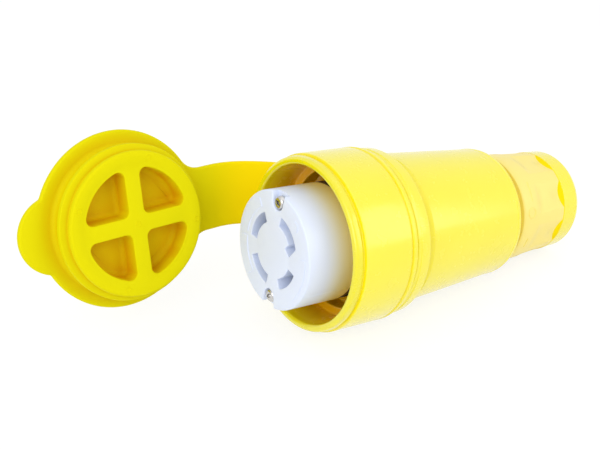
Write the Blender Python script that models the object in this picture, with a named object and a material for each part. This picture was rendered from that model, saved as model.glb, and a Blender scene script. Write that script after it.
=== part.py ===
"""Watertight four-wire locking connector for a shore power cord, with a tethered flip cap.

Metres, +Z up. The connector lies along X: its mouth faces -X and the cord enters at +X.
The origin is the centre of the white contact face. Clock angles start at +Z and turn
clockwise as seen from the mouth.
"""

from math import asin, atan2, cos, pi, radians, sin, sqrt, tau

import bmesh
import bpy
from mathutils import Matrix, Vector

# Clearances
SEAT_GAP = 0.0003  # between pieces that rest on each other
SLIDE_GAP = 0.0003  # between the insert and the bore that it slides in
CAP_GAP = 0.0012  # between the cap's sealing rib and the mouth that it swings into

# Insert and its face
INSERT_RADIUS = 0.0264
FACE_PLATE = 0.0090
FACE_CHAMFER = 0.0006
SHELL_LENGTH = 0.0260
SHELL_WALL = 0.0024
HOUSING_LENGTH = 0.0400
SLOT_INNER_RADIUS = 0.0125
SLOT_WIDTH = 0.0045
SLOT_SPANS = {  # clock angles of each slot's two ends
    "ground": (12, 72),
    "neutral": (107.5, 155.5),
    "line_x": (189, 242),
    "line_y": (273, 329.5),
}
HOOK_CLOCK = 66  # where the ground slot's tail leaves its arc
HOOK_LEAN = 28  # how far the tail leans from the radius
HOOK_LENGTH = 0.0054
HOOK_WIDTH = 0.0046

# Face screws
SCREW_CIRCLE = 0.0218
SCREW_SHANK_RADIUS = 0.0016
SCREW_HEAD_RADIUS = 0.0030
SCREW_HEAD_HEIGHT = 0.0026
SCREW_LENGTH = 0.0400
NOTCH_WIDTH = 0.0074
NOTCH_DEPTH = 0.0032
DRIVE_SLOT_WIDTH = 0.0009
DRIVE_SLOT_DEPTH = 0.0011

# Contacts and their terminals
CONTACT_WIDTH = 0.0090
LEAF_THICKNESS = 0.0012
LEAF_GAP = 0.0003  # how far a leaf stands back from its slot's side
LEAF_FRONT_GAP = 0.0006
TERMINAL_LENGTH = 0.0180
TERMINAL_THICKNESS = 0.0022
CLAMP_LENGTH = 0.0090
CLAMP_THICKNESS = 0.0017
CLAMP_SCREW_RADIUS = 0.0018
CLAMP_HEAD_RADIUS = 0.0034
CLAMP_HEAD_HEIGHT = 0.0028
WELL_GAP = 0.0004
WIRE_HOLE_RADIUS = 0.0026

# Jacket
INSERT_PROUD = 0.0146  # the face stands this far ahead of the jacket's lip
MOUTH_GAP = 0.0092  # room between the insert and the mouth's wall
MOUTH_DEPTH = 0.0185
COLLAR_WALL = 0.0044
LIP_LENGTH = 0.0050
LIP_STEP = 0.0008
LIP_ROUND = 0.0010
LIP_GROOVE_WIDTH = 0.0012
LIP_GROOVE_DEPTH = 0.0010
COLLAR_LENGTH = 0.0256
RIDGE_LENGTH = 0.0033
RIDGE_STEP = 0.0005
RIDGE_GROOVE_WIDTH = 0.0008
SEAT_STEP = 0.0040  # the mouth narrows by this much at its inner seat
SEAT_LENGTH = 0.0070
SEAT_CONE_LENGTH = 0.0030
BARREL_DROP = 0.0033  # the barrel's front lies this far below the ring
BARREL_STEP_LENGTH = 0.0052
BARREL_STEP_DEPTH = 0.0011
BARREL_LENGTH = 0.0602
BARREL_REAR_WALL = 0.0045
BARREL_ROUND = 0.0022
TAIL_WALL = 0.0043

# Strap with its ring, and the cap
RING_WIDTH = 0.0078
RING_WALL = 0.0055
RING_DROP = 0.0011  # the ring lies this far below the collar
RING_TAPER = 0.0004
STRAP_WIDTH = 0.0303
STRAP_THICKNESS = 0.0030
STRAP_STANDOFF = 0.0021  # the strap's middle leaves the ring this far off it
STRAP_ROLL = 4.23  # degrees round the jacket
FOLD_GAP = 0.0006  # between the strap's round end and the cap's tongue
CAP_SEAL_GAP = 0.0006  # between the closed cap's flange and the jacket's lip
FLANGE_INSET = 0.0003  # inside the collar's edge
FLANGE_THICKNESS = 0.0030
FLANGE_ROUND = 0.0006
BOSS_HEIGHT = 0.0151
BOSS_ROUND = 0.0020
RIB_HEIGHT = 0.0026
RIB_WIDTH = 0.0018
RIB_SETBACK = 0.0064  # from the boss's front
POCKET_WALL = 0.0070  # from the boss's side to the pockets
POCKET_DEPTH = 0.0104
POCKET_CORNER = 0.0031
CROSS_WIDTH = 0.0073
TAB_RADIUS = 0.0174
TAB_REACH = 0.0085  # past the flange
TONGUE_LENGTH = 0.0179  # from the flange's edge to its bending line
FOLD_AXIS = Vector((0.1161, 0.1852, 0.9758)).normalized()  # with the cap closed
CAP_OPEN = 88.6  # degrees that the cap is bent back from its closed place

# Cord gland
THREAD_RADIUS = 0.0225
THREAD_GAP = 0.0003
GLAND_FLANGE_LENGTH = 0.0040
GASKET_THICKNESS = 0.0020
GLAND_REACH = 0.0262  # past the jacket's tail
GLAND_BORE_RADIUS = 0.0170
GLAND_THROAT_RADIUS = 0.0130
GROMMET_BORE_RADIUS = 0.0095
GROMMET_REACH = 0.0005  # past the gland body
CORD_RADIUS = 0.0125
WASHER_THICKNESS = 0.0015
NUT_STANDOFF = 0.0064  # from the jacket's tail
NUT_LENGTH = 0.0312
NUT_WALL = 0.0045
NUT_TAPER = 0.0017
NUT_SHOULDER = 0.0062
FLATS_START = 0.0115
FLATS_DEPTH = 0.0012
FLAT_COUNT = 8
FLAT_CLOCK = 16  # degrees, the first flat's middle
SPIGOT_RADIUS = 0.0190
SPIGOT_LENGTH = 0.0060
TAIL_LENGTH = 0.0115
TAIL_RADIUS = 0.0251
TAIL_ROUND = 0.0032

# Facets
ROUND = 48
SMALL_ROUND = 20
ARC_STEPS = 4
WELD = 1e-6
CUT = 0.0050  # cutters run this far past what they cut

# Radii and stations along X that follow from the sizes above
BORE_RADIUS = INSERT_RADIUS + SLIDE_GAP
MOUTH_RADIUS = INSERT_RADIUS + MOUTH_GAP
COLLAR_RADIUS = MOUTH_RADIUS + COLLAR_WALL
RING_RADIUS = COLLAR_RADIUS - RING_DROP
GROOVE_RADIUS = RING_RADIUS - RING_TAPER - RING_WALL - SEAT_GAP
BARREL_FRONT_RADIUS = RING_RADIUS - RING_TAPER - BARREL_DROP
BARREL_REAR_RADIUS = BORE_RADIUS + BARREL_REAR_WALL
SLOT_OUTER_RADIUS = SLOT_INNER_RADIUS + SLOT_WIDTH
SHELL_BORE_RADIUS = INSERT_RADIUS - SHELL_WALL

LIP_FRONT = INSERT_PROUD
COLLAR_FRONT = LIP_FRONT + LIP_LENGTH
COLLAR_REAR = COLLAR_FRONT + COLLAR_LENGTH
RIDGE_REAR = COLLAR_REAR + RIDGE_LENGTH
RING_FRONT = RIDGE_REAR + SEAT_GAP
RING_REAR = RING_FRONT + RING_WIDTH
BARREL_STEP = RING_REAR + SEAT_GAP
BARREL_FRONT = BARREL_STEP + BARREL_STEP_LENGTH
BARREL_REAR = BARREL_FRONT + BARREL_LENGTH
SEAT_FRONT = LIP_FRONT + MOUTH_DEPTH
SEAT_REAR = SEAT_FRONT + SEAT_LENGTH
CARRIER_FRONT = FACE_PLATE + SEAT_GAP
HOUSING_FRONT = SHELL_LENGTH + SEAT_GAP
HOUSING_REAR = HOUSING_FRONT + HOUSING_LENGTH
TAIL_WALL_FRONT = BARREL_REAR - TAIL_WALL
NUT_FRONT = BARREL_REAR + NUT_STANDOFF
NUT_REAR = NUT_FRONT + NUT_LENGTH
GLAND_END = BARREL_REAR + GLAND_REACH

# The contact's own stations, and the well that holds it
LEAF_FRONT = CARRIER_FRONT + LEAF_FRONT_GAP
LEAF_BACK = HOUSING_FRONT + LEAF_THICKNESS + LEAF_FRONT_GAP
LEAF_INNER = SLOT_INNER_RADIUS - LEAF_GAP - LEAF_THICKNESS
LEAF_OUTER = SLOT_OUTER_RADIUS + LEAF_GAP + LEAF_THICKNESS
TERMINAL_TOP = SLOT_OUTER_RADIUS + LEAF_GAP
TERMINAL_FLOOR = TERMINAL_TOP - TERMINAL_THICKNESS
TERMINAL_BACK = LEAF_BACK + TERMINAL_LENGTH
TERMINAL_MIDDLE = (LEAF_BACK + TERMINAL_BACK) / 2
CLAMP_TOP = TERMINAL_TOP + SEAT_GAP + CLAMP_THICKNESS

FINISHES = {  # colour, roughness, metallic
    "jacket_yellow": ((0.95, 0.85, 0.02), 0.38, 0.0),
    "cap_yellow": ((0.95, 0.77, 0.01), 0.50, 0.0),
    "nut_yellow": ((0.94, 0.72, 0.10), 0.42, 0.0),
    "nylon_white": ((0.84, 0.86, 0.91), 0.32, 0.0),
    "housing_black": ((0.03, 0.03, 0.035), 0.45, 0.0),
    "seal_black": ((0.02, 0.02, 0.02), 0.60, 0.0),
    "brass": ((0.78, 0.57, 0.22), 0.30, 1.0),
    "screw_steel": ((0.72, 0.72, 0.73), 0.25, 1.0),
}


def clear_scene():
    for thing in list(bpy.data.objects):
        bpy.data.objects.remove(thing)


def finish_material(name):
    if name in bpy.data.materials:
        return bpy.data.materials[name]
    colour, roughness, metallic = FINISHES[name]
    material = bpy.data.materials.new(name)
    material.use_nodes = True
    shader = material.node_tree.nodes["Principled BSDF"]
    shader.inputs["Base Color"].default_value = (*colour, 1)
    shader.inputs["Roughness"].default_value = roughness
    shader.inputs["Metallic"].default_value = metallic
    return material


def add_object(name, bm, finish=None):
    """Closes a bmesh into an object. One with no finish is a cutter."""
    bmesh.ops.recalc_face_normals(bm, faces=bm.faces)
    mesh = bpy.data.meshes.new(name)
    bm.to_mesh(mesh)
    bm.free()
    thing = bpy.data.objects.new(name, mesh)
    bpy.context.scene.collection.objects.link(thing)
    if finish:
        mesh.materials.append(finish_material(finish))
        mesh.shade_smooth()
        mesh.set_sharp_from_angle(angle=radians(30))
    else:
        thing.hide_render = True
        thing.display_type = "WIRE"
    return thing


def turned(name, outline, finish=None, steps=ROUND):
    """A closed outline of (x, radius) points turned round X, with a facet's middle at the top."""
    bm = bmesh.new()
    start = pi / steps
    points = [bm.verts.new((x, radius * sin(start), radius * cos(start))) for x, radius in outline]
    edges = [
        bm.edges.new(pair)
        for pair in zip(points, points[1:] + points[:1])
        if max(point.co.z for point in pair) > WELD
    ]
    bmesh.ops.spin(
        bm, geom=points + edges, cent=(0, 0, 0), axis=(1, 0, 0), angle=tau, steps=steps, use_merge=True
    )
    bmesh.ops.remove_doubles(bm, verts=bm.verts, dist=WELD)
    return add_object(name, bm, finish)


def drawn_out(name, outline, low, high, finish=None):
    """A flat outline of (y, z) points drawn out along X."""
    bm = bmesh.new()
    face = bm.faces.new([bm.verts.new((low, y, z)) for y, z in outline])
    geometry = bmesh.ops.extrude_face_region(bm, geom=[face])["geom"]
    moved = [item for item in geometry if isinstance(item, bmesh.types.BMVert)]
    bmesh.ops.translate(bm, vec=(high - low, 0, 0), verts=moved)
    return add_object(name, bm, finish)


def slab(name, outline, width, finish=None):
    """An outline of (x, radius) points in the upright plane, made width thick across it."""
    bm = bmesh.new()
    face = bm.faces.new([bm.verts.new((x, -width / 2, radius)) for x, radius in outline])
    geometry = bmesh.ops.extrude_face_region(bm, geom=[face])["geom"]
    moved = [item for item in geometry if isinstance(item, bmesh.types.BMVert)]
    bmesh.ops.translate(bm, vec=(0, width, 0), verts=moved)
    return add_object(name, bm, finish)


def boolean(target, tool, operation="DIFFERENCE"):
    change = target.modifiers.new(tool.name, "BOOLEAN")
    change.operation = operation
    change.object = tool
    tool.hide_render = True
    tool.display_type = "WIRE"
    tool.parent = target.parent


def at_clock(thing, clock):
    thing.rotation_euler.x = radians(clock)
    return thing


def arc(centre_y, centre_z, radius, start, end, steps=ARC_STEPS):
    """Points on a circle in the YZ plane, from one angle to another in radians."""
    angles = [start + (end - start) * step / steps for step in range(steps + 1)]
    return [(centre_y + radius * cos(angle), centre_z + radius * sin(angle)) for angle in angles]


def clock_arc(radius, start, end, steps=ARC_STEPS):
    """Points on a circle about X, between two clock angles in degrees."""
    return arc(0, 0, radius, pi / 2 + radians(start), pi / 2 + radians(end), steps)


def rounded(x, radius, size, toward_x, toward_radius, steps=ARC_STEPS):
    """A quarter round that replaces the corner (x, radius), starting on its toward_radius side."""
    centre = (x + toward_x * size, radius + toward_radius * size)
    points = []
    for step in range(steps + 1):
        angle = pi / 2 * step / steps
        points.append((centre[0] - toward_x * size * cos(angle), centre[1] - toward_radius * size * sin(angle)))
    return points


def make_jacket():
    """Collar, ridges, ring groove and tapered barrel, in one moulding with a stepped bore."""
    lip_radius = COLLAR_RADIUS - LIP_STEP
    groove_front = COLLAR_FRONT - LIP_GROOVE_WIDTH
    ridge_groove_rear = COLLAR_REAR + RIDGE_GROOVE_WIDTH
    ridge_radius = COLLAR_RADIUS - RIDGE_STEP
    step_radius = BARREL_FRONT_RADIUS - BARREL_STEP_DEPTH
    outer = [
        *rounded(LIP_FRONT, lip_radius, LIP_ROUND, 1, -1),
        (groove_front, lip_radius),
        (groove_front, lip_radius - LIP_GROOVE_DEPTH),
        (COLLAR_FRONT, lip_radius - LIP_GROOVE_DEPTH),
        (COLLAR_FRONT, COLLAR_RADIUS),
        (COLLAR_REAR, COLLAR_RADIUS),
        (COLLAR_REAR, ridge_radius - RIDGE_STEP),
        (ridge_groove_rear, ridge_radius - RIDGE_STEP),
        (ridge_groove_rear, ridge_radius),
        (RIDGE_REAR, ridge_radius),
        (RIDGE_REAR, GROOVE_RADIUS),
        (BARREL_STEP, GROOVE_RADIUS),
        (BARREL_STEP, step_radius),
        (BARREL_FRONT, step_radius),
        (BARREL_FRONT, BARREL_FRONT_RADIUS),
        *reversed(rounded(BARREL_REAR, BARREL_REAR_RADIUS, BARREL_ROUND, -1, -1)),
    ]
    inner = [
        (BARREL_REAR, THREAD_RADIUS + SEAT_GAP),
        (TAIL_WALL_FRONT, THREAD_RADIUS + SEAT_GAP),
        (TAIL_WALL_FRONT, BORE_RADIUS),
        (SEAT_REAR + SEAT_CONE_LENGTH, BORE_RADIUS),
        (SEAT_REAR, MOUTH_RADIUS - SEAT_STEP),
        (SEAT_FRONT, MOUTH_RADIUS - SEAT_STEP),
        (SEAT_FRONT, MOUTH_RADIUS),
        *reversed(rounded(LIP_FRONT, MOUTH_RADIUS, LIP_ROUND, 1, 1)),
    ]
    turned("jacket", outer + inner, "jacket_yellow")


def slot_outline(start, end):
    steps = 2 * ARC_STEPS
    return clock_arc(SLOT_OUTER_RADIUS, start, end, steps) + clock_arc(SLOT_INNER_RADIUS, end, start, steps)


def hook_outline():
    """The tail that tells the ground slot from the others."""
    clock = pi / 2 + radians(HOOK_CLOCK)
    middle = (SLOT_INNER_RADIUS + SLOT_OUTER_RADIUS) / 2
    start = Vector((middle * cos(clock), middle * sin(clock)))
    along = Vector((-cos(clock + radians(HOOK_LEAN)), -sin(clock + radians(HOOK_LEAN))))
    across = Vector((-along.y, along.x)) * HOOK_WIDTH / 2
    end = start + along * HOOK_LENGTH
    return [tuple(corner) for corner in (start + across, start - across, end - across, end + across)]


def notch_outline(width, circle, reach):
    """A U open outwards, round about a point at clock angle 0."""
    half = width / 2
    return [(-half, reach), *arc(0, circle, half, pi, tau, 2 * ARC_STEPS), (half, reach)]


def make_insert_shells(screw_clocks):
    """The white face, the contact carrier behind it and the terminal housing."""
    bore = SHELL_BORE_RADIUS
    face = turned(
        "face_shell",
        [
            (0, 0),
            (0, INSERT_RADIUS - FACE_CHAMFER),
            (FACE_CHAMFER, INSERT_RADIUS),
            (SHELL_LENGTH, INSERT_RADIUS),
            (SHELL_LENGTH, bore),
            (FACE_PLATE, bore),
            (FACE_PLATE, 0),
        ],
        "nylon_white",
    )
    carrier_radius = bore - SEAT_GAP
    carrier = turned(
        "contact_carrier",
        [(CARRIER_FRONT, 0), (CARRIER_FRONT, carrier_radius), (SHELL_LENGTH, carrier_radius), (SHELL_LENGTH, 0)],
        "housing_black",
    )
    housing = turned(
        "terminal_housing",
        [(HOUSING_FRONT, 0), (HOUSING_FRONT, INSERT_RADIUS), (HOUSING_REAR, INSERT_RADIUS), (HOUSING_REAR, 0)],
        "housing_black",
    )
    for name, (start, end) in SLOT_SPANS.items():
        boolean(face, drawn_out(f"{name}_slot", slot_outline(start, end), -CUT, FACE_PLATE + CUT))
        clock = (start + end) / 2
        pocket = slab(f"{name}_pocket", pocket_outline(), CONTACT_WIDTH + 2 * WELL_GAP)
        boolean(carrier, at_clock(pocket, clock))
        well = slab(f"{name}_well", well_outline(), CONTACT_WIDTH + 2 * WELL_GAP)
        boolean(housing, at_clock(well, clock))
        wire_hole = drawn_out(
            f"{name}_wire_hole",
            arc(0, CLAMP_TOP, WIRE_HOLE_RADIUS, 0, tau, SMALL_ROUND)[:-1],
            TERMINAL_BACK,
            HOUSING_REAR + CUT,
        )
        boolean(housing, at_clock(wire_hole, clock))
    boolean(face, drawn_out("ground_hook", hook_outline(), -CUT, FACE_PLATE + CUT))
    hole_radius = SCREW_SHANK_RADIUS + SEAT_GAP
    hole = arc(0, SCREW_CIRCLE, hole_radius, 0, tau, SMALL_ROUND)[:-1]
    for clock in screw_clocks:
        notch = notch_outline(NOTCH_WIDTH, SCREW_CIRCLE, INSERT_RADIUS + CUT)
        boolean(face, at_clock(drawn_out(f"notch_{clock}", notch, -CUT, NOTCH_DEPTH), clock))
        boolean(face, at_clock(drawn_out(f"face_hole_{clock}", hole, 0, FACE_PLATE + CUT), clock))
        groove = notch_outline(2 * hole_radius, SCREW_CIRCLE, INSERT_RADIUS)
        boolean(carrier, at_clock(drawn_out(f"groove_{clock}", groove, 0, SHELL_LENGTH + CUT), clock))
        pilot_end = NOTCH_DEPTH + SCREW_LENGTH + SEAT_GAP
        boolean(housing, at_clock(drawn_out(f"pilot_{clock}", hole, SHELL_LENGTH, pilot_end), clock))


def pocket_outline():
    low = LEAF_INNER - WELL_GAP
    high = LEAF_OUTER + WELL_GAP
    front = FACE_PLATE - CUT
    return [(front, low), (SHELL_LENGTH + CUT, low), (SHELL_LENGTH + CUT, high), (front, high)]


def well_outline():
    """The contact's base goes in from the front, and its terminal lies in a well open at the side."""
    front = HOUSING_FRONT - CUT
    waist = LEAF_BACK + WELL_GAP
    back = TERMINAL_BACK + WELL_GAP
    low = LEAF_INNER - WELL_GAP
    high = LEAF_OUTER + WELL_GAP
    floor = TERMINAL_FLOOR - WELL_GAP
    open_side = INSERT_RADIUS + CUT
    return [
        (front, low),
        (waist, low),
        (waist, floor),
        (back, floor),
        (back, open_side),
        (waist, open_side),
        (waist, high),
        (front, high),
    ]


def contact_outline():
    """Two leaves that grip a blade, joined at the back, and the terminal that runs on from there."""
    inner = LEAF_INNER + LEAF_THICKNESS
    outer = LEAF_OUTER - LEAF_THICKNESS
    return [
        (LEAF_FRONT, LEAF_INNER),
        (LEAF_BACK, LEAF_INNER),
        (LEAF_BACK, TERMINAL_FLOOR),
        (TERMINAL_BACK, TERMINAL_FLOOR),
        (TERMINAL_BACK, TERMINAL_TOP),
        (LEAF_BACK, TERMINAL_TOP),
        (LEAF_BACK, LEAF_OUTER),
        (LEAF_FRONT, LEAF_OUTER),
        (LEAF_FRONT, outer),
        (LEAF_BACK - LEAF_THICKNESS, outer),
        (LEAF_BACK - LEAF_THICKNESS, inner),
        (LEAF_FRONT, inner),
    ]


def make_terminal(name, clock):
    """A brass contact with its clamp plate and the screw that draws the plate down."""
    contact = at_clock(slab(f"contact_{name}", contact_outline(), CONTACT_WIDTH, "brass"), clock)
    low = TERMINAL_TOP + SEAT_GAP
    ends = (TERMINAL_MIDDLE - CLAMP_LENGTH / 2, TERMINAL_MIDDLE + CLAMP_LENGTH / 2)
    plate = [(ends[0], low), (ends[1], low), (ends[1], CLAMP_TOP), (ends[0], CLAMP_TOP)]
    clamp = at_clock(slab(f"clamp_{name}", plate, CONTACT_WIDTH, "screw_steel"), clock)
    for piece in (contact, clamp):
        hole = arc(0, 0, CLAMP_SCREW_RADIUS + SEAT_GAP, 0, tau, SMALL_ROUND)[:-1]
        boolean(piece, stand_at_terminal(drawn_out(f"{piece.name}_hole", hole, 0, INSERT_RADIUS), clock))
    head = CLAMP_TOP + SEAT_GAP
    top = head + CLAMP_HEAD_HEIGHT
    outline = [
        (TERMINAL_FLOOR, 0),
        (TERMINAL_FLOOR, CLAMP_SCREW_RADIUS),
        (head, CLAMP_SCREW_RADIUS),
        (head, CLAMP_HEAD_RADIUS),
        (top, CLAMP_HEAD_RADIUS),
        (top, 0),
    ]
    screw = turned(f"terminal_screw_{name}", outline, "screw_steel", SMALL_ROUND)
    stand_at_terminal(screw, clock)
    boolean(screw, stand_at_terminal(drive_slot(f"{name}_drive", top, CLAMP_HEAD_RADIUS), clock))


def stand_at_terminal(thing, clock):
    """Turns a piece made along X to point out of its terminal, on the clock angle."""
    upright = Matrix.Rotation(-pi / 2, 4, "Y")
    turn = Matrix.Rotation(radians(clock), 4, "X")
    thing.matrix_world = turn @ Matrix.Translation((TERMINAL_MIDDLE, 0, 0)) @ upright
    return thing


def drive_slot(name, top, head_radius):
    """Cutter for the screwdriver slot of a head that ends at x = top and faces +X."""
    half_width = DRIVE_SLOT_WIDTH / 2
    half_length = head_radius + CUT
    outline = [
        (-half_length, -half_width),
        (half_length, -half_width),
        (half_length, half_width),
        (-half_length, half_width),
    ]
    return drawn_out(name, outline, top - DRIVE_SLOT_DEPTH, top + CUT)


def make_face_screw(name, clock):
    seat = NOTCH_DEPTH - SEAT_GAP
    front = seat - SCREW_HEAD_HEIGHT
    outline = [
        (seat + SCREW_LENGTH, 0),
        (front, 0),
        *rounded(front, SCREW_HEAD_RADIUS, SCREW_HEAD_HEIGHT / 2, 1, -1),
        (seat, SCREW_HEAD_RADIUS),
        (seat, SCREW_SHANK_RADIUS),
        (seat + SCREW_LENGTH, SCREW_SHANK_RADIUS),
    ]
    screw = turned(name, outline, "screw_steel", SMALL_ROUND)
    slot = drive_slot(f"{name}_drive", -front, SCREW_HEAD_RADIUS)
    boolean(screw, slot)
    place = Matrix.Rotation(radians(clock), 4, "X") @ Matrix.Translation((0, 0, SCREW_CIRCLE))
    screw.matrix_world = place
    slot.matrix_world = place @ Matrix.Rotation(pi, 4, "Z")


def add_empty(name, location, parent=None):
    empty = bpy.data.objects.new(name, None)
    bpy.context.scene.collection.objects.link(empty)
    empty.parent = parent
    empty.location = location
    return empty


def make_cap_and_strap():
    """Strap and cap. The cap is built closed, then bent open on the strap's end."""
    root = Vector(((RING_FRONT + RING_REAR) / 2, RING_RADIUS + STRAP_STANDOFF, 0))
    flange_radius = COLLAR_RADIUS - FLANGE_INSET
    flange_front = LIP_FRONT - CAP_SEAL_GAP
    fold = Vector((flange_front - FLANGE_THICKNESS / 2, flange_radius + TONGUE_LENGTH, 0))

    ring_axis = add_empty("ring_axis", (0, 0, 0))
    ring_axis.rotation_euler.x = radians(STRAP_ROLL)
    cap_fold = add_empty("cap_fold", fold, ring_axis)
    cap_fold.rotation_mode = "QUATERNION"
    cap_fold.rotation_quaternion = Matrix.Rotation(-radians(CAP_OPEN), 3, FOLD_AXIS).to_quaternion()

    make_strap(root, fold, ring_axis)
    make_cap(flange_radius, Vector((flange_front, 0, 0)) - fold, root - fold, cap_fold)


def make_strap(root, fold, parent):
    """The ring in the jacket's groove, a lug on its side and the flat strap that grows from the lug."""
    bore = GROOVE_RADIUS + SEAT_GAP
    rear_radius = RING_RADIUS - RING_TAPER
    outline = [(RING_FRONT, bore), (RING_FRONT, RING_RADIUS), (RING_REAR, rear_radius), (RING_REAR, bore)]
    ring = turned("cap_strap", outline, "cap_yellow")
    ring.parent = parent

    half_width = STRAP_WIDTH / 2
    half = STRAP_THICKNESS / 2
    middle = (bore + rear_radius) / 2
    reach = asin(half_width / middle)
    lean = FOLD_AXIS.y / FOLD_AXIS.z * half_width
    lug = [*arc(0, 0, middle, -reach, reach, 2 * ARC_STEPS), (root.y + lean, half_width), (root.y - lean, -half_width)]
    boolean(ring, drawn_out("strap_lug", lug, RING_FRONT, RING_REAR), "UNION")

    span = fold - root
    along = (span - FOLD_AXIS * span.dot(FOLD_AXIS)).normalized()
    length = span.dot(along)
    start = fold - along * length
    outline = arc(0, 0, half, pi / 2, 3 * pi / 2) + arc(length, 0, half, -pi / 2, pi / 2)
    plate = drawn_out("strap_plate", outline, -half_width, half_width)
    boolean(ring, plate, "UNION")
    plate.location = start
    plate.rotation_mode = "QUATERNION"
    plate.rotation_quaternion = fold_frame(along).to_quaternion()


def fold_frame(along):
    """Axes for a shape drawn out along the fold: its X is the fold's axis and its Y runs along."""
    return Matrix((FOLD_AXIS, along, FOLD_AXIS.cross(along))).transposed()


def pie_outline(radius, half_rib, corner):
    """One quarter of the boss's face between the ribs of its cross, with round corners."""
    inset = half_rib + corner
    run = sqrt((radius - corner) ** 2 - inset**2)
    slant = atan2(inset, run)
    return [
        *arc(inset, inset, corner, pi, 3 * pi / 2),
        *arc(run, inset, corner, -pi / 2, slant),
        *arc(0, 0, radius, slant, pi / 2 - slant, 2 * ARC_STEPS)[1:-1],
        *arc(inset, run, corner, pi / 2 - slant, pi),
    ]


def make_cap(flange_radius, place, to_root, parent):
    """Flange with a thumb tab and a strap tongue, and a ribbed boss with four pockets."""
    boss = MOUTH_RADIUS - CAP_GAP - RIB_HEIGHT
    rib_middle = BOSS_HEIGHT - RIB_SETBACK
    half_rib = RIB_WIDTH / 2
    rib_foot = half_rib + RIB_HEIGHT / 2
    outline = [
        (-FLANGE_THICKNESS, 0),
        *rounded(-FLANGE_THICKNESS, flange_radius, FLANGE_ROUND, 1, -1),
        *reversed(rounded(0, flange_radius, FLANGE_ROUND, -1, -1)),
        (0, boss),
        (rib_middle - rib_foot, boss),
        (rib_middle - half_rib, boss + RIB_HEIGHT),
        (rib_middle + half_rib, boss + RIB_HEIGHT),
        (rib_middle + rib_foot, boss),
        *reversed(rounded(BOSS_HEIGHT, boss, BOSS_ROUND, -1, -1)),
        (BOSS_HEIGHT, 0),
    ]
    cap = turned("flip_cap", outline, "cap_yellow")
    cap.parent = parent
    cap.location = place

    tab_centre = -(flange_radius + TAB_REACH - TAB_RADIUS)
    tab = arc(tab_centre, 0, TAB_RADIUS, 0, tau, ROUND)[:-1]
    half = STRAP_WIDTH / 2
    start = boss - CUT
    end = flange_radius + TONGUE_LENGTH + half
    tongue = [(start, -half), (end, -half), (end, half), (start, half)]
    for name, shape in (("thumb_tab", tab), ("strap_tongue", tongue)):
        piece = drawn_out(name, shape, -FLANGE_THICKNESS + FLANGE_ROUND / 2, -FLANGE_ROUND / 2)
        boolean(cap, piece, "UNION")
        piece.location = place
    trim_tongue(cap, to_root)
    pie = pie_outline(boss - POCKET_WALL, CROSS_WIDTH / 2, POCKET_CORNER)
    for quarter in range(4):
        pocket = drawn_out(f"pocket_{quarter}", pie, BOSS_HEIGHT - POCKET_DEPTH, BOSS_HEIGHT + CUT)
        boolean(cap, pocket)
        pocket.location = place
        pocket.rotation_euler.x = quarter * pi / 2


def trim_tongue(cap, to_root):
    """Ends the tongue short of the fold, with a bevel where the strap comes over when the cap is closed."""
    outward = Vector((0, 1, 0))
    outward = (outward - FOLD_AXIS * outward.dot(FOLD_AXIS)).normalized()
    upward = FOLD_AXIS.cross(outward)
    strap = Vector((to_root.dot(outward), to_root.dot(upward))).normalized()
    clear = STRAP_THICKNESS / 2 + FOLD_GAP
    corner = Vector((-clear, 0))
    side = -1 if strap.y < 0 else 1
    depth = STRAP_THICKNESS + abs(FOLD_AXIS.x) * STRAP_WIDTH
    rise = corner + strap * (depth / abs(strap.y))
    far = clear + STRAP_WIDTH
    outline = [tuple(corner), (-clear, -side * depth), (far, -side * depth), (far, side * depth), tuple(rise)]
    cutter = drawn_out("fold_room", outline, -STRAP_WIDTH, STRAP_WIDTH)
    boolean(cap, cutter)
    cutter.rotation_mode = "QUATERNION"
    cutter.rotation_quaternion = fold_frame(outward).to_quaternion()


def make_gland():
    """Threaded sleeve, gasket and grommet, and the washer, nut and end ring that close on them."""
    flange_rear = TAIL_WALL_FRONT - SEAT_GAP - GASKET_THICKNESS - SEAT_GAP
    flange_front = flange_rear - GLAND_FLANGE_LENGTH
    turned(
        "gland_body",
        [
            (flange_front, GLAND_THROAT_RADIUS),
            (flange_front, INSERT_RADIUS),
            (flange_rear, INSERT_RADIUS),
            (flange_rear, THREAD_RADIUS),
            (GLAND_END, THREAD_RADIUS),
            (GLAND_END, GLAND_BORE_RADIUS),
            (BARREL_REAR, GLAND_BORE_RADIUS),
            (BARREL_REAR, GLAND_THROAT_RADIUS),
        ],
        "nut_yellow",
    )
    gasket = (TAIL_WALL_FRONT - SEAT_GAP - GASKET_THICKNESS, TAIL_WALL_FRONT - SEAT_GAP)
    tube("gland_gasket", gasket, THREAD_RADIUS + SEAT_GAP, INSERT_RADIUS, "seal_black")
    grommet = (BARREL_REAR + SEAT_GAP, GLAND_END + GROMMET_REACH)
    tube("gland_grommet", grommet, GROMMET_BORE_RADIUS, GLAND_BORE_RADIUS - SEAT_GAP, "seal_black")
    shoulder = NUT_REAR - NUT_SHOULDER
    washer = (shoulder - SEAT_GAP - WASHER_THICKNESS, shoulder - SEAT_GAP)
    tube("slip_washer", washer, CORD_RADIUS, THREAD_RADIUS, "nylon_white")
    make_nut(shoulder)
    make_tail_ring()


def tube(name, span, bore, radius, finish):
    outline = [(span[0], bore), (span[0], radius), (span[1], radius), (span[1], bore)]
    return turned(name, outline, finish)


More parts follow.
